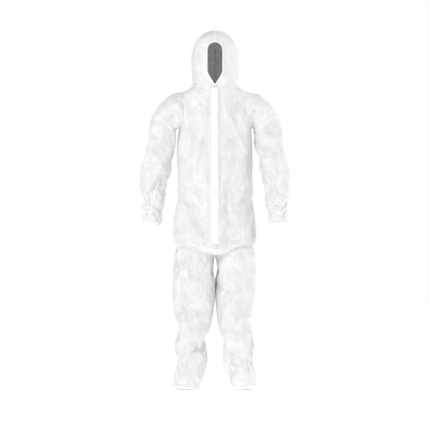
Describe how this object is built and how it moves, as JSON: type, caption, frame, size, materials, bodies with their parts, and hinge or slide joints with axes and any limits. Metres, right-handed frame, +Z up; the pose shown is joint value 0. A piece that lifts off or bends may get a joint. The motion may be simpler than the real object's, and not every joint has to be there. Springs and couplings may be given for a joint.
{
  "type": "hooded protective coverall",
  "caption": "Hooded disposable coverall in its worn shape, with zip, storm flap, gathered cuffs and joints that let the limbs and hood bend.",
  "frame": {"origin": "middle of the neck opening, on the wearer's shoulder line, where the wearer carries the suit", "axes": "+Z up, the front faces -Y, +X is the wearer's left"},
  "size_m": [0.7478, 0.2854, 1.7903],
  "materials": {
    "cloth": "matte non-woven cloth, one layer",
    "folded_cloth": "matte non-woven cloth, folded and stitched",
    "elastic": "ribbed elastic band",
    "zip_tape": "woven polyester tape",
    "zip_teeth": "white nylon coil",
    "zip_metal": "white lacquer",
    "label": "blank satin label"
  },
  "bodies": {
    "trunk": {"collar": "folded_cloth", "crotch_gusset": "cloth", "flap_stitched_edge": "folded_cloth", "left_back_panel": "cloth", "left_front_panel": "cloth", "left_leg_top": "cloth", "left_zip_coil": "zip_teeth", "left_zip_tape": "zip_tape", "right_back_panel": "cloth", "right_front_panel": "cloth", "right_leg_top": "cloth", "right_zip_coil": "zip_teeth", "right_zip_tape": "zip_tape", "size_label": "label", "waist_elastic": "elastic", "zip_bottom_stop": "zip_teeth", "zip_top_stops": "zip_teeth"},
    "hood": {"hood_face_elastic": "elastic", "hood_face_hem": "folded_cloth", "left_hood_panel": "cloth", "right_hood_panel": "cloth"},
    "zip_slider": {"zip_slider": "zip_metal"},
    "zip_puller": {"zip_puller": "zip_metal"},
    "storm_flap": {"storm_flap": "folded_cloth"},
    "left_upper_arm": {"left_armhole_seam": "folded_cloth", "left_sleeve_head": "cloth", "left_upper_sleeve": "cloth"},
    "left_forearm": {"left_lower_sleeve": "cloth", "left_wrist_elastic": "elastic", "left_wrist_hem": "folded_cloth"},
    "left_thigh": {"left_upper_leg": "cloth"},
    "left_shin": {"left_ankle_elastic": "elastic", "left_ankle_hem": "folded_cloth", "left_lower_leg": "cloth"},
    "right_upper_arm": {"right_armhole_seam": "folded_cloth", "right_sleeve_head": "cloth", "right_upper_sleeve": "cloth"},
    "right_forearm": {"right_lower_sleeve": "cloth", "right_wrist_elastic": "elastic", "right_wrist_hem": "folded_cloth"},
    "right_thigh": {"right_upper_leg": "cloth"},
    "right_shin": {"right_ankle_elastic": "elastic", "right_ankle_hem": "folded_cloth", "right_lower_leg": "cloth"}
  },
  "joints": [
    {"name": "hood_nod", "type": "hinge", "parent": "trunk", "child": "hood", "pos_m": [0, 0, 0], "axis": [1, 0, 0], "range_deg": [-20, 15]},
    {"name": "zip_slide", "type": "slide", "parent": "trunk", "child": "zip_slider", "axis": [0, -0.0499, -0.9988], "range_m": [0, 0.742]},
    {"name": "puller_lift", "type": "hinge", "parent": "zip_slider", "child": "zip_puller", "pos_m": [0, -0.10114, -0.01671], "axis": [-1, 0, 0], "range_deg": [0, 8]},
    {"name": "flap_open", "type": "hinge", "parent": "trunk", "child": "storm_flap", "pos_m": [-0.021, -0.09695, -0.00691], "axis": [0, -0.0499, -0.9988], "range_deg": [0, 120]},
    {"name": "left_arm_swing", "type": "hinge", "parent": "trunk", "child": "left_upper_arm", "pos_m": [0.206, 0, -0.115], "axis": [-1, 0, 0], "range_deg": [-25, 45]},
    {"name": "left_elbow_bend", "type": "hinge", "parent": "left_upper_arm", "child": "left_forearm", "pos_m": [0.292, 0, -0.425], "axis": [-0.9952, 0, -0.0976], "range_deg": [0, 90]},
    {"name": "left_leg_swing", "type": "hinge", "parent": "trunk", "child": "left_thigh", "pos_m": [0.107, 0, -0.868], "axis": [-1, 0, 0], "range_deg": [-15, 35]},
    {"name": "left_knee_bend", "type": "hinge", "parent": "left_thigh", "child": "left_shin", "pos_m": [0.109, 0, -1.06], "axis": [0.9967, 0, 0.0806], "range_deg": [0, 80]},
    {"name": "right_arm_swing", "type": "hinge", "parent": "trunk", "child": "right_upper_arm", "pos_m": [-0.206, 0, -0.115], "axis": [-1, 0, 0], "range_deg": [-25, 45]},
    {"name": "right_elbow_bend", "type": "hinge", "parent": "right_upper_arm", "child": "right_forearm", "pos_m": [-0.292, 0, -0.425], "axis": [-0.9952, 0, 0.0976], "range_deg": [0, 90]},
    {"name": "right_leg_swing", "type": "hinge", "parent": "trunk", "child": "right_thigh", "pos_m": [-0.107, 0, -0.868], "axis": [-1, 0, 0], "range_deg": [-15, 35]},
    {"name": "right_knee_bend", "type": "hinge", "parent": "right_thigh", "child": "right_shin", "pos_m": [-0.109, 0, -1.06], "axis": [0.9967, 0, -0.0806], "range_deg": [0, 80]}
  ]
}
